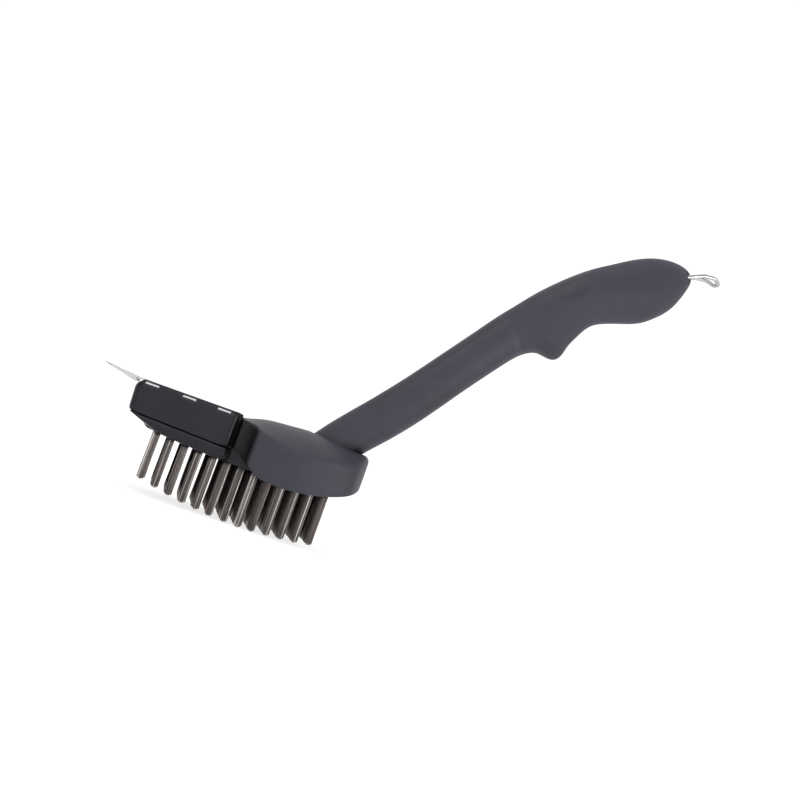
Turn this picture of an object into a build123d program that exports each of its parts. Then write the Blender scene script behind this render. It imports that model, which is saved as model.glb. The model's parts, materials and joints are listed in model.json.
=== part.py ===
from build123d import *
import math
import os

# Grill cleaning brush: a black scraper block with a steel blade in front, a charcoal head shell behind it,
# a slanting handle with a soft grip and a wire hanging loop, and a pull-off bristle cassette underneath.
# Every shape is drawn in head coordinates, in millimetres: X from the front face of the scraper block
# towards the handle, Y across the head, Z up from the level of the shell's front edge. export() then
# shifts each part into the row frame, whose origin is on the ground below the middle of the brush.

# ---- driving dimensions ----
HEAD_X = -161.8  # row X of the block's front face
HEAD_Z = 62.0  # height of Z = 0 above the longest bristle tips
CLEARANCE = 0.3  # gap round pieces that move or drop into place

BLOCK_LENGTH = 64.0
BLOCK_HALF = 34.0  # half of the block's width
DECK_TOP = 2.2
DECK_LOW = -1.8  # underside of the deck
BLOCK_LOW_NOSE, BLOCK_LOW_REAR = -17.0, -19.6  # the walls' lower edge, at the nose and at the rear
NOSE_WALL = 8.0
NOSE_CHAMFER = 4.2
BLOCK_CORNER = 4.0  # radius of the block's corners in plan
TOP_ROUND, LOW_ROUND = 1.0, 0.6  # radii of the block's outer edges
RIB_LOW = -12.0
RIB_START, RIB_END = 28.0, 30.5
GROOVE_RADIUS = 7.0  # the hollow between block and shell, on each side
GROOVE_X = 66.5

BLADE_THICKNESS = 1.2
BLADE_REACH = 20.0  # how far the blade stands ahead of the block
BLADE_RISE = 2.0
BLADE_END = 60.0
BLADE_HALF = 31.4
BLADE_ROOT = 2.0  # where the blade rises out of the deck
BEVEL_START = -14.0
BLADE_EDGE = 0.3  # thickness left at the blade's edge
BLADE_CORNER = 5.0
EAR_DROP, EAR_LENGTH = 3.0, 18.0  # the blade's sides are folded down into long low triangles
TAB_CENTRES = (9.0, 31.0, 52.0)  # places of the tongues that hook into the block's sides
TAB_LENGTH = 8.0
TAB_PLAY = 0.1  # room left round each tongue

SHELL_WALL = 3.0
SHELL_END = 149.5
SHELL_HALF = 42.0
SHELL_FRONT_HALF = 33.0  # half of the shell's width at its two ends
SHELL_WIDEST, SHELL_SHOULDER = 104.0, 139.0
SHELL_CORNER = 13.0
# The shell's crowned top, lofted through X, height of the crest, and how far it falls at |Y| = 42.
CROWN_SECTIONS = [
    (58.0, 0.2, 0.4),
    (66.0, 0.3, 1.6),
    (72.0, 1.5, 5.2),
    (78.0, 3.3, 9.3),
    (86.0, 4.6, 13.4),
    (96.0, 5.4, 16.2),
    (110.0, 6.5, 17.0),
    (124.0, 6.4, 17.0),
    (138.0, 4.7, 17.0),
    (152.0, 2.2, 17.0),
]
KEEL_X, KEEL_Z, KEEL_RADIUS = 97.0, -31.0, 117.0  # lowest point and radius of the shell's lower rim
BRIDGE_TOP, BRIDGE_THICKNESS = -10.5, 3.0
BRIDGE_START, BRIDGE_END = 98.0, 141.0
PAD_PLACES, PAD_THICKNESS, PAD_HALF = (101.0, 128.0), 3.0, 20.0  # what the cassette's top rests on

CASSETTE_START, CASSETTE_END = 12.0, 133.0
CASSETTE_HALF = 28.0
CASSETTE_TOP = -18.0
CASSETTE_LOW_X, CASSETTE_LOW_Z, CASSETTE_RADIUS = 85.0, -28.0, 605.0
RIM_HALF = 33.4  # half width of the cassette's rim under the block
CASSETTE_CORNER = 3.0
POCKET_HALF = CASSETTE_HALF + CLEARANCE + 0.1  # half width of the room for the cassette
RING_START, RING_END, RING_HALF, RING_WALL = 14.0, 58.0, 24.0, 2.0  # ring that centres the cassette

ROWS, ROW_START, ROW_PITCH = 13, 20.7, 8.83
TUFTS, TUFT_PITCH, TUFT_RADIUS = 10, 5.5, 2.3
TUFT_SEAT = 4.5  # depth of a tuft's hole
STAPLE_LENGTH, STAPLE_WIDTH, STAPLE_HEIGHT = 3.4, 0.5, 1.2
TRIM_X, TRIM_RADIUS = 88.0, 260.0  # centre and radius of the arc that the bristle tips are cut to

LATCH_HALF = 12.9
LATCH_THICKNESS = 2.0
WINDOW_START = 128.4
LUG_HALF, LUG_REACH = 4.0, 1.4
TAB_HALF = 6.0

LOOP_WIRE = 1.3  # radius of the hanging loop's wire
LOOP_HALF = 6.0
LOOP_SWING = 30.0  # degrees either way
LEG_RISE = 0.4  # how much the loop's legs arch above their own line
LOOP_LEAN = 24.0  # degrees that the loop's legs rise at rest, in line with the handle's end
PIVOT_X, PIVOT_Z = 311.5, 191.0
NECK_GAP = 1.3  # the dark gap where the handle goes into the shell
NECK_GAP_END = 131.0

# The handle is lofted through these sections: x, z, lean of the axis in degrees, reach above the axis,
# reach below it, and half the width. The reach below swells at the finger guard.
SHAFT_SECTIONS = [
    (112.0, -14.0, 50.0, 13.8, 14.0, 12.0),
    (128.0, 5.0, 50.0, 13.9, 14.2, 12.0),
    (143.5, 23.5, 50.5, 13.9, 14.4, 12.0),
    (163.2, 47.4, 52.0, 13.9, 14.7, 12.0),
    (182.2, 73.2, 53.5, 13.5, 14.6, 12.0),
    (200.5, 97.7, 52.5, 13.6, 14.9, 12.4),
]
GRIP_SECTIONS = [
    (211.0, 111.0, 50.5, 14.1, 15.9, 13.0),
    (215.4, 116.0, 49.5, 14.4, 17.6, 13.3),
    (219.5, 120.5, 48.5, 14.7, 21.4, 13.6),
    (223.4, 124.8, 47.5, 15.1, 28.2, 13.9),
    (227.6, 129.2, 46.3, 15.6, 29.6, 14.2),
    (233.0, 134.7, 45.0, 16.1, 26.2, 14.4),
    (240.3, 141.4, 43.0, 16.8, 22.2, 14.8),
    (250.0, 149.8, 40.5, 17.5, 18.6, 15.5),
    (261.8, 158.3, 37.0, 18.6, 19.5, 16.4),
    (275.5, 165.6, 33.0, 20.3, 21.2, 17.2),
    (286.0, 171.3, 29.5, 21.4, 21.9, 17.4),
    (297.0, 177.9, 26.0, 20.6, 20.4, 16.6),
    (306.0, 183.2, 24.0, 18.0, 17.2, 14.4),
    (313.2, 188.2, 23.0, 13.4, 12.0, 10.8),
    (318.2, 192.0, 23.0, 8.4, 7.0, 6.8),
    (321.0, 194.2, 23.0, 3.4, 3.0, 2.8),
]
SLEEVE_WALL = 3.0
DISH_RADIUS = 120.0  # of the shallow dish in each flank of the thumb rest

# Screws: (x, y) of each, and sizes.
BLADE_SCREWS = [(12.0, 16.0), (12.0, -16.0), (46.0, 0.0)]
BLOCK_SCREWS = [(57.5, 11.0), (57.5, -11.0)]
HANDLE_SCREWS = [(108.0, 0.0), (121.0, 0.0)]
BLADE_SCREW_RADIUS, BLADE_HEAD_RADIUS, BLADE_SCREW_TIP = 1.6, 3.2, -7.0
BLOCK_SCREW_RADIUS, BLOCK_HEAD_RADIUS, BLOCK_SCREW_TIP = 1.6, 3.0, 0.2
HANDLE_SCREW_RADIUS, HANDLE_HEAD_RADIUS, HANDLE_SCREW_TIP = 1.8, 3.4, 0.5
HEAD_HEIGHT = 2.0
HEX_RADIUS, HEX_DEPTH = 1.3, 1.5  # socket in a screw's head
HOLE_PLAY = 0.05  # added to a screw's radius where it bites
BOSS_RADIUS, BOSS_LOW = 3.9, -9.0  # the pillars that the blade's screws bite into
TALL = 60.0  # more than the height of anything that is cut through


def slab(x0, x1, half, z0, z1):
    """A block from x0 to x1, across to half on both sides, and from z0 up to z1."""
    return Pos((x0 + x1) / 2, 0, (z0 + z1) / 2) * Box(x1 - x0, 2 * half, z1 - z0)


def side_slab(x0, x1, y0, y1, z0, z1):
    """A pair of blocks from y0 to y1, one on each side of the brush."""
    one = Pos((x0 + x1) / 2, (y0 + y1) / 2, (z0 + z1) / 2) * Box(x1 - x0, y1 - y0, z1 - z0)
    return one + mirror(one, Plane.XZ)


def plate(points, y0, y1):
    """A side view outline given as (x, z) points, as thick as y0 to y1."""
    outline = make_face(Polyline(*[(x, 0, z) for x, z in points], close=True))
    return Pos(0, y0, 0) * extrude(outline, y1 - y0, dir=(0, 1, 0))


def rod(x, y, z0, z1, radius):
    """An upright cylinder from z0 to z1."""
    return Pos(x, y, (z0 + z1) / 2) * Cylinder(radius, z1 - z0)


def cross_rod(x, z, radius, length):
    """A cylinder across the brush."""
    return Pos(x, 0, z) * Rot(90, 0, 0) * Cylinder(radius, length)


def both_sides(shape):
    return shape + mirror(shape, Plane.XZ)


def rounded_front(x, half, radius):
    """A tall block that starts at x, with rounded upright corners there; it keeps a part's front corners."""
    length = BLOCK_LENGTH + 26.0
    plan = Pos(x + length / 2, 0, 0) * RectangleRounded(length, 2 * half, radius)
    return extrude(plan, TALL, both=True)


def grooves(wider=0.0):
    """The upright hollows where the block meets the shell."""
    return both_sides(rod(GROOVE_X, BLOCK_HALF + 3.0, -60.0, 30.0, GROOVE_RADIUS + wider))


# ---- scraper block and blade ----
TONGUE_START, TONGUE_HALF, TONGUE_THICKNESS = 51.0, 18.0, 3.0


def block_outline():
    """Side view of the block, with its front corners eased."""
    side = [
        (0.0, DECK_TOP - NOSE_CHAMFER),
        (NOSE_CHAMFER, DECK_TOP),
        (BLOCK_LENGTH, DECK_TOP),
        (BLOCK_LENGTH, BLOCK_LOW_REAR),
        (1.0, BLOCK_LOW_NOSE),
    ]
    outline = make_face(Polyline(*[(x, 0, z) for x, z in side], close=True))
    return fillet([v for v in outline.vertices() if v.X < 20 and v.Z > BLOCK_LOW_NOSE + 1], TOP_ROUND)


def side_edges(shape, low, high):
    """The long outer edges of a block-wide shape, with their middles between two heights."""
    found = []
    for edge in shape.edges():
        middle, box = edge.center(), edge.bounding_box()
        flat = abs(box.max.Y - box.min.Y) < 0.01
        if flat and middle.X < BLOCK_LENGTH - 0.5 and abs(middle.Y) > RIM_HALF - 0.1 and low < middle.Z < high:
            found.append(edge)
    return found


def make_scraper_block():
    block = Pos(0, -BLOCK_HALF, 0) * extrude(block_outline(), 2 * BLOCK_HALF, dir=(0, 1, 0))
    block &= rounded_front(0.0, BLOCK_HALF, BLOCK_CORNER)
    block = fillet(side_edges(block, DECK_TOP - 0.5, DECK_TOP + 0.5), TOP_ROUND)
    block = fillet(side_edges(block, BLOCK_LOW_REAR - 1, BLOCK_LOW_NOSE + 0.5), LOW_ROUND)
    block -= grooves()
    block -= slab(NOSE_WALL, BLOCK_LENGTH + 1, POCKET_HALF, -TALL, DECK_LOW)
    block += slab(RIB_START, RIB_END, POCKET_HALF, RIB_LOW, DECK_LOW)
    block += sum((rod(x, y, BOSS_LOW, DECK_LOW, BOSS_RADIUS) for x, y in BLADE_SCREWS), Part())
    seat = DECK_TOP - BLADE_THICKNESS
    block -= slab(-1.0, BLADE_END, BLADE_HALF, seat, DECK_TOP + 1)
    for centre in TAB_CENTRES:
        low, high = centre - TAB_LENGTH / 2, centre + TAB_LENGTH / 2
        block -= side_slab(low, high, BLADE_HALF - BLADE_THICKNESS, TALL, seat - BLADE_THICKNESS, seat)
    for x, y in BLADE_SCREWS:
        pilot = rod(x, y, BLADE_SCREW_TIP - 0.5, DECK_TOP, BLADE_SCREW_RADIUS + HOLE_PLAY)
        block -= pilot + countersink(x, y)
    for x, y in BLOCK_SCREWS:
        block -= rod(x, y, DECK_LOW, BLOCK_SCREW_TIP + 0.1, BLOCK_SCREW_RADIUS + HOLE_PLAY)
    return block


def countersink(x, y, gap=HOLE_PLAY):
    """The cone that a flat screw head sinks into."""
    cone = Cone(BLADE_SCREW_RADIUS + gap, BLADE_HEAD_RADIUS + gap, HEAD_HEIGHT)
    return Pos(x, y, DECK_TOP - HEAD_HEIGHT / 2) * cone


def make_scraper_blade():
    """A bent plate let into the deck, tapering to an edge in front of the block, with folded sides."""
    heel, tip = -BLADE_THICKNESS, (-BLADE_REACH, BLADE_RISE)
    clear = -0.4  # the wide part of the blade starts this far ahead of the block
    neck = (clear, heel + 0.2)
    under = [(-BLADE_REACH, BLADE_RISE - BLADE_EDGE), (BEVEL_START, 0.35), neck]
    blade = slab(BLADE_ROOT, BLADE_END, BLADE_HALF, heel, 0.0)
    blade += plate([(BLADE_ROOT, 0.0), tip, *under, (BLADE_ROOT, heel)], -BLADE_HALF, BLADE_HALF)
    blade += plate([(clear, 0.2), tip, *under], -BLOCK_HALF, BLOCK_HALF)
    ear = [(clear, heel + 0.6), (-EAR_LENGTH, BLADE_RISE - 0.7), (clear, -EAR_DROP)]
    blade += both_sides(plate(ear, BLOCK_HALF - BLADE_THICKNESS, BLOCK_HALF))
    for centre in TAB_CENTRES:
        half = TAB_LENGTH / 2 - TAB_PLAY
        inner, outer = BLADE_HALF - BLADE_THICKNESS + TAB_PLAY, BLOCK_HALF - TAB_PLAY
        blade += side_slab(centre - half, centre + half, inner, outer, 2 * heel + TAB_PLAY, heel)
    blade &= rounded_front(-BLADE_REACH, BLOCK_HALF, BLADE_CORNER)
    return Pos(0, 0, DECK_TOP) * blade - sum((countersink(x, y) for x, y in BLADE_SCREWS), Part())


def hexagon(x, y, z, depth):
    """A hexagonal hole from z up, or down where the depth is below zero."""
    return Pos(x, y, z) * extrude(RegularPolygon(HEX_RADIUS, 6), depth)


def screw(x, y, z_tip, z_head, radius, head_radius):
    """A cylinder-head screw pointing up, with its head below z_head."""
    shank = rod(x, y, z_head, z_tip, radius)
    head = rod(x, y, z_head - HEAD_HEIGHT, z_head, head_radius)
    return shank + head - hexagon(x, y, z_head - HEAD_HEIGHT, HEX_DEPTH)


def make_blade_screws():
    screws = Part()
    for x, y in BLADE_SCREWS:
        one = countersink(x, y, gap=0.0) + rod(x, y, BLADE_SCREW_TIP, DECK_TOP - 1.0, BLADE_SCREW_RADIUS)
        screws += one - hexagon(x, y, DECK_TOP, -HEX_DEPTH)
    return screws


def make_block_screws():
    sizes = (BLOCK_SCREW_TIP, DECK_LOW - TONGUE_THICKNESS, BLOCK_SCREW_RADIUS, BLOCK_HEAD_RADIUS)
    return sum((screw(x, y, *sizes) for x, y in BLOCK_SCREWS), Part())


# ---- head shell ----
CATCH_X, CATCH_THICKNESS, CATCH_HALF, CATCH_LOW = 133.5, 3.0, 16.0, -24.0


def shell_outline(inset=0.0):
    """Plan of the shell: bulging sides and a gently rounded back."""
    front = (BLOCK_LENGTH + inset, SHELL_FRONT_HALF - inset)
    shoulder = (SHELL_SHOULDER - inset, SHELL_FRONT_HALF - inset)
    side = ThreePointArc(front, (SHELL_WIDEST, SHELL_HALF - inset), shoulder)
    back = ThreePointArc(shoulder, (SHELL_END - inset, 0.0), (shoulder[0], -shoulder[1]))
    widest = (SHELL_WIDEST, inset - SHELL_HALF)
    far_side = ThreePointArc((shoulder[0], -shoulder[1]), widest, (front[0], -front[1]))
    base = Line((front[0], -front[1]), front)
    outline = make_face([side, back, far_side, base])
    corners = outline.vertices().filter_by(lambda v: abs(v.X - shoulder[0]) < 0.01)
    return fillet(corners, SHELL_CORNER - inset)


def crown(lower=0.0):
    """All that lies under the shell's crowned top, or under that top moved down."""
    sections = []
    reach, foot = 60.0, -90.0  # each section goes well past the shell's sides and rim
    for x, crest, fall in CROWN_SECTIONS:
        edge = crest - fall * (reach / SHELL_HALF) ** 2 - lower
        top = ThreePointArc((x, -reach, edge), (x, 0, crest - lower), (x, reach, edge))
        rest = Polyline((x, reach, edge), (x, reach, foot), (x, -reach, foot), (x, -reach, edge))
        sections.append(make_face([top, rest]))
    return loft(sections)


def front_sweep():
    """What is cut from the shell's lower front, where its rim sweeps up to the block."""
    start, end = (61.0, 0, BLOCK_LOW_REAR), (84.0, 0, -30.2)
    rim = Spline(start, (67.0, 0, -20.2), (75.0, 0, -25.2), end)
    below = Polyline(end, (end[0], 0, -TALL), (start[0], 0, -TALL), start)
    return Pos(0, -TALL, 0) * extrude(make_face([rim, below]), 2 * TALL, dir=(0, 1, 0))


def shell_envelope():
    body = Pos(0, 0, -60.0) * extrude(shell_outline(), 90.0)
    body &= crown()
    body &= cross_rod(KEEL_X, KEEL_Z + KEEL_RADIUS, KEEL_RADIUS, 200.0)
    return body - front_sweep()


def neck_gap():
    """A slightly thicker handle, which leaves a gap all round the neck but at its back."""
    neck = loft([section(*row, inset=-NECK_GAP) for row in SHAFT_SECTIONS[:4]])
    return neck & slab(BRIDGE_START - 18.0, NECK_GAP_END, SHELL_HALF, BRIDGE_TOP, TALL)


def make_head_shell(handle):
    envelope = shell_envelope()
    hollow = Pos(0, 0, -80.0) * extrude(shell_outline(inset=SHELL_WALL), 110.0)
    hollow &= crown(lower=SHELL_WALL)
    hollow -= grooves(SHELL_WALL)
    shell = envelope - hollow
    ribs = slab(BRIDGE_START, BRIDGE_END, TALL, BRIDGE_TOP - BRIDGE_THICKNESS, BRIDGE_TOP)
    for x in PAD_PLACES:
        ribs += slab(x, x + PAD_THICKNESS, PAD_HALF, CASSETTE_TOP, BRIDGE_TOP)
    ribs += slab(CATCH_X, CATCH_X + CATCH_THICKNESS, CATCH_HALF, CATCH_LOW, BRIDGE_TOP)
    shell += ribs & envelope
    shell -= slab(60.0, CATCH_X, POCKET_HALF, -TALL, CASSETTE_TOP)
    shell -= slab(CATCH_X - 1, CATCH_X + LUG_REACH + 0.2, LUG_HALF + 0.6, -TALL, CASSETTE_TOP)
    shell -= grooves()
    shell += slab(TONGUE_START, BLOCK_LENGTH + 4.0, TONGUE_HALF, DECK_LOW - TONGUE_THICKNESS, DECK_LOW)
    for x, y in BLOCK_SCREWS:
        shell -= rod(x, y, CASSETTE_TOP, DECK_LOW + 0.1, BLOCK_SCREW_RADIUS + 3 * HOLE_PLAY)
    for x, y in HANDLE_SCREWS:
        shell -= rod(x, y, CASSETTE_TOP, BRIDGE_TOP, HANDLE_SCREW_RADIUS + 3 * HOLE_PLAY)
    return shell - handle - neck_gap()


# ---- handle ----
def section(x, z, lean, above, below, half, inset=0.0):
    """One egg-shaped cross-section of the handle, square to its axis."""
    angle = math.radians(lean)
    plane = Plane(origin=(x, 0, z), x_dir=(0, 1, 0), z_dir=(math.cos(angle), 0, math.sin(angle)))
    upper = EllipticalCenterArc((0, 0), half - inset, above - inset, start_angle=0, arc_size=180)
    lower = EllipticalCenterArc((0, 0), half - inset, below - inset, start_angle=180, arc_size=180)
    return plane * make_face([upper, lower])


def grip_plane():
    """The cross-section where the soft grip starts."""
    x, z, lean = GRIP_SECTIONS[0][:3]
    angle = math.radians(lean)
    return Plane(origin=(x, 0, z), x_dir=(0, 1, 0), z_dir=(math.cos(angle), 0, math.sin(angle)))


def handle_envelope():
    whole = loft([section(*row) for row in SHAFT_SECTIONS + GRIP_SECTIONS])
    return whole - slab(BLOCK_LENGTH, 180.0, TALL, -TALL, BRIDGE_TOP)


def at_pivot(shape):
    """A shape drawn round the loop's pivot with its legs along X, put in place and leant to rest."""
    return Pos(PIVOT_X, 0, PIVOT_Z) * Rot(0, -LOOP_LEAN, 0) * shape


def loop_slots():
    """The two slots in the handle's end that the loop's legs swing in, and the hole for its crossbar."""
    half = LOOP_WIRE + 0.25
    swing, reach = math.radians(LOOP_SWING), 16.0
    spread = reach * math.tan(swing) + half / math.cos(swing) + LEG_RISE
    upper = [(-half, half), (0.0, half + 0.4), (reach, spread)]
    mouth = upper + [(x, -z) for x, z in reversed(upper)]
    slots = both_sides(plate(mouth, LOOP_HALF - half, LOOP_HALF + half))
    return at_pivot(slots + cross_rod(0, 0, LOOP_WIRE + 0.1, 2 * LOOP_HALF))


def make_handle_core(envelope):
    shaft = split(envelope, bisect_by=grip_plane(), keep=Keep.BOTTOM)
    inner = loft([section(*row, inset=SLEEVE_WALL) for row in GRIP_SECTIONS[:-2]])
    core = shaft + inner - loop_slots()
    for x, y in HANDLE_SCREWS:
        core -= rod(x, y, -TALL, HANDLE_SCREW_TIP + 0.5, HANDLE_SCREW_RADIUS + HOLE_PLAY)
    return core, inner


def thumb_rest_zone():
    """Side view of the dished rest: a lens along the top of the grip, reaching down both flanks."""
    start, end = (212.5, 0, 139.0), (248.0, 0, 172.0)
    lower = Spline(start, (227.5, 0, 140.6), (243.5, 0, 149.0), (249.5, 0, 159.5), end)
    lid = Polyline(end, (225.0, 0, 172.0), start)
    return Pos(0, -TALL / 2, 0) * extrude(make_face([lower, lid]), TALL, dir=(0, 1, 0))


def thumb_dishes():
    """Two large balls that press a shallow dish into each flank of the rest."""
    toward = Vector(-0.42, 0.78, 0.46) * DISH_RADIUS
    return both_sides(Pos(232.5, 11.6, 149.0) * Pos(*toward) * Sphere(DISH_RADIUS))


def make_handle_screws():
    sizes = (HANDLE_SCREW_TIP, BRIDGE_TOP - BRIDGE_THICKNESS, HANDLE_SCREW_RADIUS, HANDLE_HEAD_RADIUS)
    return sum((screw(x, y, *sizes) for x, y in HANDLE_SCREWS), Part())


def make_hang_loop():
    """A closed wire: a crossbar in the handle, two legs, and an end that bends down."""
    near = -LOOP_HALF
    points = [(0.0, near, 0.0), (19.0, near, LEG_RISE), (27.0, near + 0.6, -1.8), (31.0, near + 3.0, -6.0)]
    points += [(x, -y, z) for x, y, z in reversed(points)]
    path = FilletPolyline(*points, radius=[1.6, 9.0, 3.4, 2.2, 2.2, 3.4, 9.0, 1.6], close=True)
    start = Plane(origin=path @ 0, z_dir=path % 0)
    return at_pivot(sweep(start * Circle(LOOP_WIRE), path=path))


# ---- bristle cassette ----
def underside(x):
    """Height of the cassette's curved underside."""
    return CASSETTE_LOW_Z + CASSETTE_RADIUS - math.sqrt(CASSETTE_RADIUS**2 - (x - CASSETTE_LOW_X) ** 2)


def tip_height(x):
    """Height of the bristle tips, trimmed to an arc."""
    return TRIM_RADIUS - HEAD_Z - math.sqrt(TRIM_RADIUS**2 - (x - TRIM_X) ** 2)


def row_x(row):
    return ROW_START + ROW_PITCH * row


def tuft_places():
    first = -(TUFTS - 1) / 2 * TUFT_PITCH
    return [first + TUFT_PITCH * place for place in range(TUFTS)]


def cassette_rim():
    """The rim that closes the block from below, sloping up at the nose."""
    top_nose, top_rear = BLOCK_LOW_NOSE - CLEARANCE, BLOCK_LOW_REAR - CLEARANCE
    end = BLOCK_LENGTH - CLEARANCE
    side = [(1.2, top_nose), (end, top_rear), (end, -40.0), (22.0, -40.0), (22.0, -25.0), (18.5, -24.0)]
    rim = plate(side, -RIM_HALF, RIM_HALF) & rounded_front(0.0, RIM_HALF, BLOCK_CORNER)
    return rim - grooves(CLEARANCE)


def make_cassette_body():
    middle, length = (CASSETTE_START + CASSETTE_END) / 2, CASSETTE_END - CASSETTE_START
    plan = Pos(middle, 0, CASSETTE_TOP) * RectangleRounded(length, 2 * CASSETTE_HALF, CASSETTE_CORNER)
    body = extrude(plan, -20.0) + cassette_rim()
    body &= cross_rod(CASSETTE_LOW_X, CASSETTE_LOW_Z + CASSETTE_RADIUS, CASSETTE_RADIUS, 80.0)
    ring = slab(RING_START, RING_END, RING_HALF, CASSETTE_TOP, RIB_LOW - CLEARANCE)
    inside = slab(RING_START + RING_WALL, RING_END - RING_WALL, RING_HALF - RING_WALL, CASSETTE_TOP, 0.0)
    body += ring - inside
    body -= slab(WINDOW_START, CASSETTE_END + 1, LATCH_HALF + 0.1, -TALL, 0.0)
    holes = []
    for row in range(ROWS):
        x = row_x(row)
        top = underside(x) + TUFT_SEAT
        holes += [rod(x, y, -TALL, top, TUFT_RADIUS + HOLE_PLAY) for y in tuft_places()]
    return body - holes


def make_bristle_row(row):
    x = row_x(row)
    top = underside(x) + TUFT_SEAT - STAPLE_HEIGHT
    return Compound([rod(x, y, tip_height(x), top, TUFT_RADIUS) for y in tuft_places()])


def make_anchor_staples():
    staples = []
    for row in range(ROWS):
        x = row_x(row)
        top = underside(x) + TUFT_SEAT
        for y in tuft_places():
            staples.append(Pos(x, y, top - STAPLE_HEIGHT / 2) * Box(STAPLE_WIDTH, STAPLE_LENGTH, STAPLE_HEIGHT))
    return Compound(staples)


def make_latch_bar():
    """The springy bar across the cassette's rear window, with its catch lug and finger tab."""
    start = CASSETTE_END - LATCH_THICKNESS
    bar = slab(start, CASSETTE_END, LATCH_HALF, -24.5, CASSETTE_TOP - 0.4)
    lug = slab(CASSETTE_END - 0.5, CASSETTE_END + LUG_REACH, LUG_HALF, -21.5, CASSETTE_TOP - 1.0)
    tab = slab(start, CASSETTE_END - 0.4, TAB_HALF, -26.0, -24.0)
    return bar + lug + tab


def export(name, shape):
    shifted = Pos(HEAD_X, 0, HEAD_Z) * shape
    shifted.label = name
    export_step(shifted, f"parts/{name}.step")


def main():
    os.makedirs("parts", exist_ok=True)
    handle = handle_envelope()
    core, inner = make_handle_core(handle)
    grip = split(handle, bisect_by=grip_plane(), keep=Keep.TOP) - inner - loop_slots()
    rest = grip & thumb_rest_zone()
    export("scraper_block", make_scraper_block())
    export("scraper_blade", make_scraper_blade())
    export("blade_screws", make_blade_screws())
    export("head_shell", make_head_shell(handle))
    export("block_screws", make_block_screws())
    export("handle_core", core)
    export("handle_screws", make_handle_screws())
    export("grip_sleeve", grip - rest)
    export("thumb_rest", rest - thumb_dishes())
    export("hang_loop", make_hang_loop())
    export("cassette_body", make_cassette_body())
    export("latch_bar", make_latch_bar())
    export("anchor_staples", make_anchor_staples())
    for row in range(ROWS):
        export(f"bristle_row_{row + 1:02d}", make_bristle_row(row))


main()
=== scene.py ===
import json
import math
import random

import bpy
from mathutils import Matrix, Vector


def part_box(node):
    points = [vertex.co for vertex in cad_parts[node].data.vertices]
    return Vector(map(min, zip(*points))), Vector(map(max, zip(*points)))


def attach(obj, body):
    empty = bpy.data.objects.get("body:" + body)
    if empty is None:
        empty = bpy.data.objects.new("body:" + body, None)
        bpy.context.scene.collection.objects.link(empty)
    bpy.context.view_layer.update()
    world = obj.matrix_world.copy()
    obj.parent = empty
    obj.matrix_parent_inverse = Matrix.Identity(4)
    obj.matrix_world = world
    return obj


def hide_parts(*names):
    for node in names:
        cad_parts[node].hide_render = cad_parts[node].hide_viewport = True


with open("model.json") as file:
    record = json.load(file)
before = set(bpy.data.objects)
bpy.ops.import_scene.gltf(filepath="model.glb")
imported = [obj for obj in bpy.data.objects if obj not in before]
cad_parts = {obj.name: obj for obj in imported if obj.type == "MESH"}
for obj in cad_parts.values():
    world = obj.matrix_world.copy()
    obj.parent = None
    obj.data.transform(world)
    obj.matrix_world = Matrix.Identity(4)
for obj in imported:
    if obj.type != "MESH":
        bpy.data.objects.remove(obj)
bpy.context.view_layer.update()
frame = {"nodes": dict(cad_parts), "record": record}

# Grill cleaning brush. Lengths are in millimetres of the row frame, and times MM they are the scene's
# metres. The camera's and the lights' places are in metres.
MM = 0.001

ROWS = 13
TUFTS, TUFT_PITCH, TUFT_RADIUS = 10, 5.5, 2.3  # tufts in a row
TUFT_LEAN = 0.18  # usual sideways lean of a tuft's end
WIRE_RADIUS = 0.29
WIRE_THINNEST, WIRE_THICKEST = 0.93, 1.05  # shares of the radius
WIRE_RINGS = 3  # rings of wires round the middle one of each tuft
WIRE_SIDES = 6
WIRE_STEPS = 5  # stretches along a wire
WIRE_SPREAD = 0.07  # most that a wire's end fans out, as a share of its place in the tuft
WIRE_BEND = 0.07  # usual bow of a wire halfway
WIRE_SHORTFALL = 0.4  # most that a wire ends short of its tuft
TUFT_DOME = 1.1  # how much shorter the outer wires are than the middle one
TIP_LENGTH, TIP_SHARE = 0.12, 0.55  # the bevel at a wire's end, and how far it narrows
TONE_MIDDLE, TONE_RANGE = 0.42, 0.27  # from dark wire at 0 to bright wire at 1
DRAW_SEED = 7

FLOOR_REACH = 12.0  # metres from the middle to an edge
FLOOR_GREY, FLOOR_GLOW = 0.4, 0.75  # the floor's own colour, and the strength of its white glow

CAMERA_PLACE = Vector((-0.1441, -0.590, 0.0637))
CAMERA_LOOK = Vector((0.228, 0.9711, 0.0708))
CAMERA_ROLL = 19.74  # degrees
CAMERA_LENS = 42.5
CAMERA_SENSOR = 36.0


BLOCK_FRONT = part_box("scraper_block")[0].x / MM
BLOCK_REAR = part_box("scraper_block")[1].x / MM
BLOCK_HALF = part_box("scraper_block")[1].y / MM
BLOCK_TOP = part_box("scraper_block")[1].z / MM
GROOVE_X, GROOVE_Y = BLOCK_REAR + 2.5, BLOCK_HALF + 3.0  # axis of the groove on one side
GROOVE_SHADE_INNER, GROOVE_SHADE_OUTER = 7.3, 9.8  # distances from that axis where the painted shade starts and stops fading

WHITE = (1.0, 1.0, 1.0)
DARK = (0.0, 0.0, 0.0)
EDGE_START, EDGE_FULL = 0.508, 0.56  # pointiness of an edge that starts to pale, and of a fully paled one: partly wear, partly a painted highlight
HOLLOW_SHADE_FULL, HOLLOW_SHADE_NONE = 0.45, 0.88  # openness of a hollow at full painted shade, and of an unshaded place
BROAD_RELIEF = 0.05  # depth of the plastic's broad unevenness
MOTTLE = 0.12  # how far the plastic's cloudy patches stray from its colour
RECESS_REACH, RECESS_SHADE = 9.0, 0.2  # width of a hollow darkened by painted shade, and the share of colour left in it
GROOVE_SHADE = 0.12  # share of colour left in the grooves' painted shade
POLYMER_SPECULAR = 0.22  # of plastic and rubber
SHEEN, SHEEN_ROUGHNESS = 0.05, 0.45  # of rubber


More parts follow.
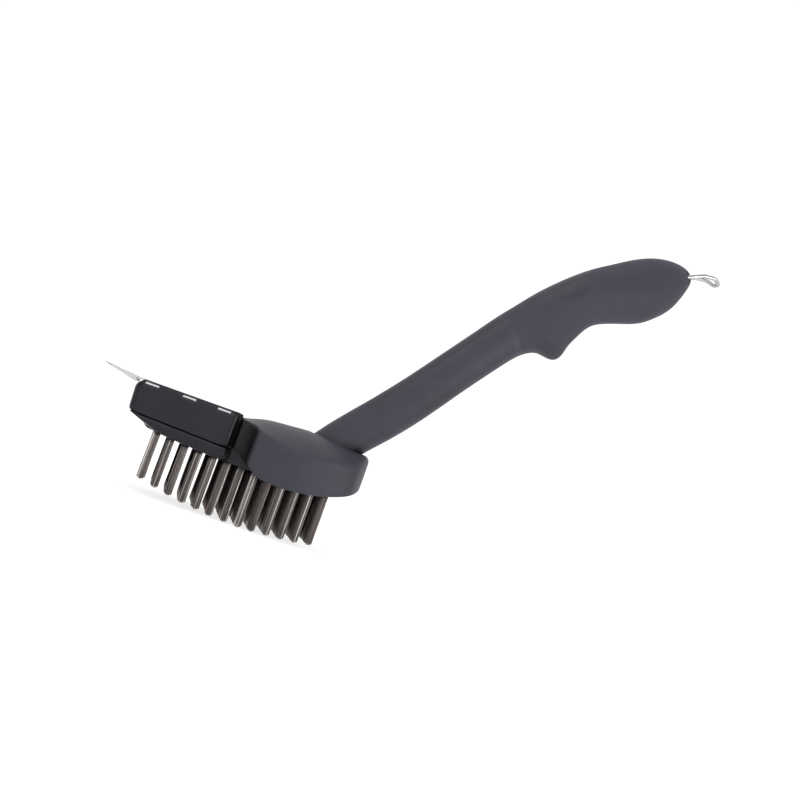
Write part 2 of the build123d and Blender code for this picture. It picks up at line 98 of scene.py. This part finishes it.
# ---- materials ----
class Nodes:
    """A short way to write a material's node tree."""

    def __init__(self, name):
        self.material = bpy.data.materials.new(name)
        self.material.use_nodes = True
        self.tree = self.material.node_tree
        self.shader = self.tree.nodes["Principled BSDF"]
        self.place = self.add("ShaderNodeTexCoord").outputs["Object"]

    def add(self, kind, **settings):
        node = self.tree.nodes.new(kind)
        for key, value in settings.items():
            setattr(node, key, value)
        return node

    def link(self, source, target):
        self.tree.links.new(source, target)

    def noise(self, size, stretch=(1, 1, 1), detail=3.0, roughness=0.5):
        """Noise whose grain is about size millimetres across, drawn out along an axis by stretch."""
        mapping = self.add("ShaderNodeMapping")
        mapping.inputs["Scale"].default_value = [1 / (size * MM * s) for s in stretch]
        texture = self.add("ShaderNodeTexNoise")
        texture.inputs["Scale"].default_value = 1.0
        texture.inputs["Detail"].default_value = detail
        texture.inputs["Roughness"].default_value = roughness
        self.link(self.place, mapping.inputs["Vector"])
        self.link(mapping.outputs["Vector"], texture.inputs["Vector"])
        return texture.outputs["Fac"]

    def ramp(self, value, stops):
        """A colour ramp from (position, colour) stops."""
        node = self.add("ShaderNodeValToRGB")
        elements = node.color_ramp.elements
        while len(elements) < len(stops):
            elements.new(0.5)
        for element, (position, colour) in zip(elements, stops):
            element.position = position
            element.color = (*colour, 1.0)
        self.link(value, node.inputs["Fac"])
        return node.outputs["Color"]

    def between(self, value, low, high):
        """value from 0 to 1 turned into low to high."""
        node = self.add("ShaderNodeMapRange")
        node.inputs["To Min"].default_value = low
        node.inputs["To Max"].default_value = high
        self.link(value, node.inputs["Value"])
        return node.outputs["Result"]

    def mix(self, factor, first, second, blend="MIX"):
        """Two colours mixed. Each of the three values is a socket, a number or a colour."""
        node = self.add("ShaderNodeMix", data_type="RGBA", blend_type=blend)
        sockets = node.inputs[0], node.inputs[6], node.inputs[7]
        for socket, value in zip(sockets, (factor, first, second)):
            if isinstance(value, bpy.types.NodeSocket):
                self.link(value, socket)
            elif isinstance(value, (int, float)):
                socket.default_value = value
            else:
                socket.default_value = (*value, 1.0)
        return node.outputs[2]

    def bump(self, height, depth, base=None):
        """Relief of a depth in millimetres, over another relief if base is given."""
        node = self.add("ShaderNodeBump")
        node.inputs["Distance"].default_value = depth * MM
        self.link(height, node.inputs["Height"])
        if base is not None:
            self.link(base, node.inputs["Normal"])
        return node.outputs["Normal"]

    def worn_and_highlit_edges(self):
        """1 on sharp outward edges, 0 elsewhere: the edges that are paled, partly as wear and partly as
        a painted highlight.
        """
        geometry = self.add("ShaderNodeNewGeometry")
        return self.ramp(geometry.outputs["Pointiness"], [(EDGE_START, DARK), (EDGE_FULL, WHITE)])

    def shaded_recesses(self, colour, reach, darkest):
        """The colour, darker in hollows about as wide as reach millimetres: painted shade from the
        ambient occlusion.
        """
        hollow = self.add("ShaderNodeAmbientOcclusion", samples=8)
        hollow.inputs["Distance"].default_value = reach * MM
        hollow_shade = self.ramp(hollow.outputs["AO"], [(HOLLOW_SHADE_FULL, (darkest,) * 3), (HOLLOW_SHADE_NONE, WHITE)])
        return self.mix(1.0, colour, hollow_shade, "MULTIPLY")

    def painted_groove_shade(self, colour, darkest):
        """The colour, darkened by painted shade in the upright grooves between block and shell."""
        axes = self.add("ShaderNodeSeparateXYZ")
        self.link(self.place, axes.inputs["Vector"])
        across = self.add("ShaderNodeMath", operation="ABSOLUTE")
        self.link(axes.outputs["Y"], across.inputs[0])
        flat = self.add("ShaderNodeCombineXYZ")
        self.link(axes.outputs["X"], flat.inputs["X"])
        self.link(across.outputs["Value"], flat.inputs["Y"])
        offset = self.add("ShaderNodeVectorMath", operation="DISTANCE")
        self.link(flat.outputs["Vector"], offset.inputs[0])
        offset.inputs[1].default_value = Vector((GROOVE_X, GROOVE_Y, 0.0)) * MM
        painted_shade = self.add("ShaderNodeMapRange", interpolation_type="SMOOTHSTEP")
        painted_shade.inputs["From Min"].default_value = GROOVE_SHADE_INNER * MM
        painted_shade.inputs["From Max"].default_value = GROOVE_SHADE_OUTER * MM
        painted_shade.inputs["To Min"].default_value = darkest
        self.link(offset.outputs["Value"], painted_shade.inputs["Value"])
        return self.mix(1.0, colour, painted_shade.outputs["Result"], "MULTIPLY")

    def finish(self, colour, roughness, normal, metallic=0.0):
        """Links the three sockets to the shader, and returns the material."""
        self.link(colour, self.shader.inputs["Base Color"])
        self.link(roughness, self.shader.inputs["Roughness"])
        self.link(normal, self.shader.inputs["Normal"])
        self.shader.inputs["Metallic"].default_value = metallic
        return self.material


def scaled(colour, factor):
    """A colour with each of its parts times the factor."""
    return tuple(c * factor for c in colour)


def moulded_plastic(name, colour, roughness, grain, grain_depth, edge_wear_and_highlight=0.25):
    """Moulded plastic: a fine spark-eroded grain, faint cloudy patches, paler edges that are partly
    wear and partly a painted highlight, and painted shade in hollows and grooves.
    """
    nodes = Nodes(name)
    cloud = nodes.noise(26.0, detail=4.0)
    speck = nodes.noise(grain, detail=2.0)
    base = nodes.ramp(cloud, [(0.3, scaled(colour, 1 - MOTTLE)), (0.7, scaled(colour, 1 + MOTTLE))])
    fine = nodes.ramp(speck, [(0.3, scaled(WHITE, 0.94)), (0.7, scaled(WHITE, 1.06))])
    base = nodes.mix(1.0, base, fine, "MULTIPLY")
    # paler sharp edges: partly wear, partly a painted highlight
    edge = nodes.mix(edge_wear_and_highlight, DARK, nodes.worn_and_highlit_edges())
    base = nodes.mix(edge, base, scaled(colour, 2.0))
    # painted shade: darker in hollows, from the ambient occlusion
    base = nodes.shaded_recesses(base, RECESS_REACH, RECESS_SHADE)
    # painted shade in the upright grooves between block and shell
    base = nodes.painted_groove_shade(base, GROOVE_SHADE)
    rough = nodes.between(nodes.noise(9.0, detail=5.0), roughness - 0.06, roughness + 0.06)
    normal = nodes.bump(speck, grain_depth)
    normal = nodes.bump(nodes.noise(14.0, detail=1.0), BROAD_RELIEF, base=normal)
    nodes.shader.inputs["Specular IOR Level"].default_value = POLYMER_SPECULAR
    return nodes.finish(base, rough, normal)


def soft_rubber(name, colour, roughness):
    """Soft-touch rubber skin: a velvety sheen and a fine, even tooth."""
    nodes = Nodes(name)
    cloud = nodes.noise(30.0, detail=4.0)
    tooth = nodes.noise(0.22, detail=2.0)
    base = nodes.ramp(cloud, [(0.3, scaled(colour, 0.9)), (0.7, scaled(colour, 1.1))])
    specks = nodes.noise(3.0, detail=6.0, roughness=0.7)
    dust = nodes.ramp(specks, [(0.62, DARK), (0.85, (0.3, 0.3, 0.3))])
    base = nodes.mix(dust, base, scaled(colour, 1.7))
    rough = nodes.between(nodes.noise(12.0, detail=4.0), roughness - 0.05, roughness + 0.07)
    normal = nodes.bump(tooth, 0.012)
    nodes.shader.inputs["Sheen Weight"].default_value = SHEEN
    nodes.shader.inputs["Sheen Roughness"].default_value = SHEEN_ROUGHNESS
    nodes.shader.inputs["Specular IOR Level"].default_value = POLYMER_SPECULAR
    nodes.shader.inputs["Sheen Tint"].default_value = (0.8, 0.78, 0.9, 1.0)
    return nodes.finish(base, rough, normal)


def brushed_steel(name, colour, roughness):
    """Stainless sheet with fine lines drawn across the brush, and some soft stains."""
    nodes = Nodes(name)
    lines = nodes.noise(0.16, (1, 90, 1), detail=2.0)
    cloud = nodes.noise(12.0, detail=5.0)
    base = nodes.ramp(lines, [(0.25, scaled(colour, 0.86)), (0.75, scaled(colour, 1.1))])
    stain = nodes.ramp(cloud, [(0.35, (0.9, 0.89, 0.87)), (0.65, WHITE)])
    base = nodes.mix(1.0, base, stain, "MULTIPLY")
    rough = nodes.between(lines, roughness - 0.08, roughness + 0.12)
    normal = nodes.bump(lines, 0.006)
    nodes.shader.inputs["Specular Tint"].default_value = (0.6, 0.6, 0.6, 1.0)
    return nodes.finish(base, rough, normal, metallic=1.0)


def drawn_wire(name, dark, bright):
    """Bristle wire. Each wire has its own tone, stored on its points, and its end carries a painted
    highlight at the brightest tone.
    """
    nodes = Nodes(name)
    tone = nodes.add("ShaderNodeAttribute", attribute_name="tone").outputs["Fac"]
    # tone 1 is also the painted highlight on each wire's cut end
    base = nodes.ramp(tone, [(0.0, dark), (0.6, scaled(dark, 1.7)), (1.0, bright)])
    streaks = nodes.noise(0.3, (1, 1, 30), detail=3.0)
    streak = nodes.ramp(streaks, [(0.3, (0.8, 0.78, 0.76)), (0.7, (1.1, 1.1, 1.1))])
    base = nodes.mix(1.0, base, streak, "MULTIPLY")
    rough = nodes.between(streaks, 0.3, 0.5)
    normal = nodes.bump(streaks, 0.01)
    nodes.shader.inputs["Specular Tint"].default_value = (0.6, 0.58, 0.56, 1.0)
    return nodes.finish(base, rough, normal, metallic=1.0)


CHARCOAL = (0.0325, 0.0315, 0.0425)
BLACK = (0.0095, 0.009, 0.0135)
GRIP = (0.0345, 0.0335, 0.045)
STEEL = (0.45, 0.45, 0.46)
WIRE_DARK = (0.115, 0.103, 0.097)
WIRE_BRIGHT = (0.85, 0.82, 0.8)

MATERIALS = {
    "charcoal_plastic": moulded_plastic(
        "charcoal_plastic", CHARCOAL, roughness=0.5, grain=0.35, grain_depth=0.012
    ),
    "black_plastic": moulded_plastic(
        "black_plastic", BLACK, roughness=0.3, grain=0.3, grain_depth=0.004, edge_wear_and_highlight=0.4
    ),
    "soft_grip": soft_rubber("soft_grip", GRIP, roughness=0.62),
    "thumb_rubber": soft_rubber("thumb_rubber", scaled(GRIP, 0.85), roughness=0.5),
    "stainless": brushed_steel("stainless", STEEL, roughness=0.3),
    "bristle_wire": drawn_wire("bristle_wire", WIRE_DARK, WIRE_BRIGHT),
}


def paint(obj, slot):
    """Gives an object the material of a slot."""
    obj.data.materials.clear()
    obj.data.materials.append(MATERIALS[slot])


SLOT_OF_NODE = {part["node"]: part["material_slot"] for part in frame["record"]["subparts"]}
BODY_OF_NODE = {
    node: body for body, nodes in frame["record"]["behaviour"]["bodies"].items() for node in nodes
}
for node, obj in frame["nodes"].items():
    paint(obj, SLOT_OF_NODE[node])


# ---- pieces ----
def add_piece(name, vertices, faces, slot, body, replaced):
    """A new mesh piece in the row frame, in metres. It rides on a body and stands for CAD nodes."""
    mesh = bpy.data.meshes.new(name)
    mesh.from_pydata(vertices, [], faces)
    mesh.validate()
    obj = bpy.data.objects.new(name, mesh)
    bpy.context.scene.collection.objects.link(obj)
    paint(obj, slot)
    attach(obj, body)
    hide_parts(*replaced)
    return obj


def evaluated_mesh(obj):
    """The mesh of an object with its modifiers applied."""
    graph = bpy.context.evaluated_depsgraph_get()
    return bpy.data.meshes.new_from_object(obj.evaluated_get(graph))


def soften(node, voxel, rounds, softness):
    """
    A copy of a CAD piece with rounded edges, which stands for it: remeshed to an even grid, then
    smoothed. softness(x, y, z) gives the share of the smoothing that a place gets, from 0 to 1.
    """
    source = frame["nodes"][node]
    piece = bpy.data.objects.new(f"{node}_soft", source.data.copy())
    bpy.context.scene.collection.objects.link(piece)
    remesh = piece.modifiers.new("even_grid", "REMESH")
    remesh.mode = "VOXEL"
    remesh.voxel_size = voxel * MM
    piece.data = evaluated_mesh(piece)
    piece.modifiers.remove(remesh)
    group = piece.vertex_groups.new(name="softness")
    for vertex in piece.data.vertices:
        group.add([vertex.index], softness(*(vertex.co / MM)), "REPLACE")
    smooth = piece.modifiers.new("smooth", "SMOOTH")
    smooth.iterations = rounds
    smooth.factor = 0.5
    smooth.vertex_group = "softness"
    piece.data = evaluated_mesh(piece)
    piece.modifiers.remove(smooth)
    piece.data.polygons.foreach_set("use_smooth", [True] * len(piece.data.polygons))
    paint(piece, SLOT_OF_NODE[node])
    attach(piece, BODY_OF_NODE[node])
    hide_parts(node)


def ramp_between(value, start, end):
    """0 before start, 1 after end, and an even climb between."""
    return min(1.0, max(0.0, (value - start) / (end - start)))


# Shares of the smoothing that places get, and where those places start and end.
CRISP, ROUND = 0.03, 1.0
LOBE_SHARE, DECK_SHARE, WALL_SHARE = 0.4, 0.05, 0.2
SHELL_SHARE, BACK_EXTRA, SHOULDER_EXTRA = 0.15, 0.05, 0.8
LOBE_REAR = GROOVE_X + 12.0
LOBE_SIDE = BLOCK_HALF - 6.0
LOBE_TOP = BLOCK_TOP - 1.0
BACK_START, BACK_FULL = BLOCK_FRONT + 104.0, BLOCK_FRONT + 140.0
SHOULDER_START, SHOULDER_FULL = BLOCK_TOP - 26.0, BLOCK_TOP - 8.0
DECK_FRONT, DECK_SIDE, DECK_UNDER = BLOCK_FRONT + 1.0, BLOCK_HALF - 1.0, BLOCK_TOP - 4.0
DECK_REAR = BLOCK_REAR - 3.0
NOSE_END, TAIL_START = BLOCK_FRONT + 5.0, BLOCK_REAR - 8.0
WALL_UNDER = BLOCK_TOP - 14.0
RIM_SIDE, RIM_FRONT, RIM_TOP = BLOCK_HALF - 5.0, BLOCK_FRONT + 14.0, BLOCK_TOP - 23.5


def shell_softness(x, y, z):
    """Crisp by the block, but for the lobes' sides, and well rounded at the back, most of all above."""
    if x < LOBE_REAR:
        return LOBE_SHARE if abs(y) > LOBE_SIDE and z < LOBE_TOP else CRISP
    back = ramp_between(x, BACK_START, BACK_FULL)
    above = ramp_between(z, SHOULDER_START, SHOULDER_FULL)
    return SHELL_SHARE + back * (BACK_EXTRA + SHOULDER_EXTRA * above)


def block_softness(x, y, z):
    """Well rounded at both ends, and crisp on the deck, where the blade lies, and along the rim."""
    if x > DECK_REAR:
        return ROUND
    if z > DECK_UNDER and abs(y) < DECK_SIDE and x > DECK_FRONT:
        return DECK_SHARE
    if x < NOSE_END or x > TAIL_START:
        return ROUND
    return CRISP if z < WALL_UNDER else WALL_SHARE


def rim_softness(x, y, z):
    """Only the outer edges, so that the tufts' holes stay open."""
    outside = abs(y) > RIM_SIDE or x < RIM_FRONT
    return ROUND if outside and z < RIM_TOP else CRISP


def packed_places():
    """Places of a tuft's wires, packed in hexagon rings, as fractions of the tuft's radius."""
    places = [(0.0, 0.0)]
    for ring in range(1, WIRE_RINGS + 1):
        for corner in range(6):
            for step in range(ring):
                start = math.radians(60 * corner)
                end = math.radians(60 * (corner + 1))
                share = step / ring
                x = (1 - share) * math.cos(start) + share * math.cos(end)
                y = (1 - share) * math.sin(start) + share * math.sin(end)
                length = math.hypot(x, y)
                pull = 0.6 / length + 0.4  # rounds the hexagon off towards a circle
                places.append((x * ring * pull / WIRE_RINGS, y * ring * pull / WIRE_RINGS))
    return places


def ring_of_points(x, y, z, radius):
    """The corners of a wire's outline at one height."""
    angles = [2 * math.pi * side / WIRE_SIDES for side in range(WIRE_SIDES)]
    return [(x + radius * math.cos(a), y + radius * math.sin(a), z) for a in angles]


def wire_faces(first):
    """The faces of a wire whose points start at number first: sides, then the caps at both ends."""
    faces = []
    for ring in range(WIRE_STEPS + 1):
        for side in range(WIRE_SIDES):
            a = first + ring * WIRE_SIDES + side
            b = first + ring * WIRE_SIDES + (side + 1) % WIRE_SIDES
            faces.append((a, a + WIRE_SIDES, b + WIRE_SIDES, b))
    faces.append(tuple(first + side for side in range(WIRE_SIDES)))
    last = first + (WIRE_STEPS + 1) * WIRE_SIDES
    faces.append(tuple(last + WIRE_SIDES - 1 - side for side in range(WIRE_SIDES)))
    return faces


def squeezed(vertices, low_z, high_z):
    """The points, drawn up towards high_z if the lowest one lies under low_z."""
    lowest = min(z for _, _, z in vertices)
    if lowest >= low_z:
        return vertices
    return [(x, y, z + (low_z - lowest) * (high_z - z) / (high_z - low_z)) for x, y, z in vertices]


def add_tuft_row(row, draw):
    """One row of tufts, each a bundle of fine wires with a rounded end."""
    node = f"bristle_row_{row:02d}"
    low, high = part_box(node)
    middle_x = (low.x + high.x) / 2
    vertices, faces, tones = [], [], []
    reach = (TUFT_RADIUS - WIRE_RADIUS) * MM
    for tuft in range(TUFTS):
        middle_y = (tuft - (TUFTS - 1) / 2) * TUFT_PITCH * MM
        lean_x = draw.gauss(0, TUFT_LEAN) * MM
        lean_y = draw.gauss(0, TUFT_LEAN) * MM
        turn = draw.uniform(0, math.pi)
        for u, v in packed_places():
            x0 = (u * math.cos(turn) - v * math.sin(turn)) * reach
            y0 = (u * math.sin(turn) + v * math.cos(turn)) * reach
            out = math.hypot(u, v)
            spread = 1.0 + draw.uniform(0.0, WIRE_SPREAD)
            bend_x = draw.gauss(0, WIRE_BEND) * MM
            bend_y = draw.gauss(0, WIRE_BEND) * MM
            end = low.z + (TUFT_DOME * out**2 + draw.uniform(0.0, WIRE_SHORTFALL)) * MM
            radius = WIRE_RADIUS * draw.uniform(WIRE_THINNEST, WIRE_THICKEST) * MM
            tone = min(1.0, max(0.0, draw.gauss(TONE_MIDDLE, TONE_RANGE)))
            faces += wire_faces(len(vertices))
            for step in range(WIRE_STEPS + 1):
                share = step / WIRE_STEPS
                wave = math.sin(share * math.pi)
                fan = 1 + (spread - 1) * share
                x = middle_x + x0 * fan + lean_x * share**2 + bend_x * wave
                y = middle_y + y0 * fan + lean_y * share**2 + bend_y * wave
                z = high.z + (end - high.z) * share
                vertices += ring_of_points(x, y, z, radius)
            vertices += ring_of_points(x, y, z - TIP_LENGTH * MM, radius * TIP_SHARE)
            # each wire's end ring gets tone 1: a painted highlight on the cut end
            tones += [tone] * ((WIRE_STEPS + 1) * WIRE_SIDES) + [1.0] * WIRE_SIDES
    vertices = squeezed(vertices, low.z, high.z)
    piece = add_piece(f"wires_{row:02d}", vertices, faces, "bristle_wire", "cassette", [node])
    attribute = piece.data.attributes.new("tone", "FLOAT", "POINT")
    attribute.data.foreach_set("value", tones)
    on_side = [len(p.vertices) == 4 for p in piece.data.polygons]
    piece.data.polygons.foreach_set("use_smooth", on_side)


def add_bristles():
    """Every row of tufts, from the front to the back."""
    draw = random.Random(DRAW_SEED)
    for row in range(1, ROWS + 1):
        add_tuft_row(row, draw)


soften("head_shell", voxel=0.6, rounds=160, softness=shell_softness)
soften("scraper_block", voxel=0.5, rounds=60, softness=block_softness)
soften("cassette_body", voxel=0.6, rounds=80, softness=rim_softness)
add_bristles()


# ---- room, lights and camera ----
def add_floor():
    """A wide white floor under the brush."""
    mesh = bpy.data.meshes.new("floor")
    signs = ((-1, -1), (1, -1), (1, 1), (-1, 1))
    corners = [(x * FLOOR_REACH, y * FLOOR_REACH, 0) for x, y in signs]
    mesh.from_pydata(corners, [], [(0, 1, 2, 3)])
    floor = bpy.data.objects.new("floor", mesh)
    bpy.context.scene.collection.objects.link(floor)
    nodes = Nodes("floor_white")
    nodes.shader.inputs["Base Color"].default_value = (*scaled(WHITE, FLOOR_GREY), 1.0)
    nodes.shader.inputs["Roughness"].default_value = 0.9
    nodes.shader.inputs["Specular IOR Level"].default_value = 0.1
    nodes.shader.inputs["Emission Color"].default_value = (*WHITE, 1.0)
    nodes.shader.inputs["Emission Strength"].default_value = FLOOR_GLOW
    mesh.materials.append(nodes.material)


FRONT_SKY, BACK_SKY = 0.6, 1.05  # brightness of the studio in front of the brush and behind it
SKY_TURNS, SKY_TURNED = -0.5, 0.15  # Y of the directions between which one becomes the other


def add_world():
    """A studio that is bright behind the brush and dimmer in front of it."""
    world = bpy.data.worlds.new("studio")
    bpy.context.scene.world = world
    world.use_nodes = True
    tree = world.node_tree
    background = tree.nodes["Background"]
    background.inputs["Color"].default_value = (*WHITE, 1.0)
    direction = tree.nodes.new("ShaderNodeTexCoord")
    axes = tree.nodes.new("ShaderNodeSeparateXYZ")
    fade = tree.nodes.new("ShaderNodeMapRange")
    fade.inputs["From Min"].default_value = SKY_TURNS
    fade.inputs["From Max"].default_value = SKY_TURNED
    fade.inputs["To Min"].default_value = FRONT_SKY
    fade.inputs["To Max"].default_value = BACK_SKY
    tree.links.new(direction.outputs["Generated"], axes.inputs["Vector"])
    tree.links.new(axes.outputs["Y"], fade.inputs["Value"])
    tree.links.new(fade.outputs["Result"], background.inputs["Strength"])


def add_area_light(name, place, target, power, width, height):
    """A rectangular light at a place, facing a target. Places in metres, power in watts."""
    data = bpy.data.lights.new(name, "AREA")
    data.shape = "RECTANGLE"
    data.size = width
    data.size_y = height
    data.energy = power
    light = bpy.data.objects.new(name, data)
    light.location = place
    light.rotation_euler = (Vector(target) - Vector(place)).to_track_quat("-Z", "Y").to_euler()
    bpy.context.scene.collection.objects.link(light)


def add_camera():
    """The photograph's camera, rolled about its line of sight."""
    data = bpy.data.cameras.new("camera")
    data.lens = CAMERA_LENS
    data.sensor_width = CAMERA_SENSOR
    camera = bpy.data.objects.new("camera", data)
    level = CAMERA_LOOK.to_track_quat("-Z", "Y").to_matrix()
    turned = level @ Matrix.Rotation(math.radians(CAMERA_ROLL), 3, "Z")
    camera.matrix_world = Matrix.Translation(CAMERA_PLACE) @ turned.to_4x4()
    bpy.context.scene.collection.objects.link(camera)
    bpy.context.scene.camera = camera


add_floor()
add_world()
add_area_light("key", (-0.5, -0.5, 1.3), (-0.05, 0.0, 0.05), 6.5, 0.7, 0.7)
add_area_light("low", (0.75, -0.75, 0.1), (0.0, 0.0, 0.08), 4.5, 0.3, 0.4)
add_area_light("front", (-0.2, -1.6, 0.5), (0.0, 0.0, 0.08), 6.0, 1.2, 0.6)
add_camera()
bpy.context.scene.view_settings.view_transform = "Standard"
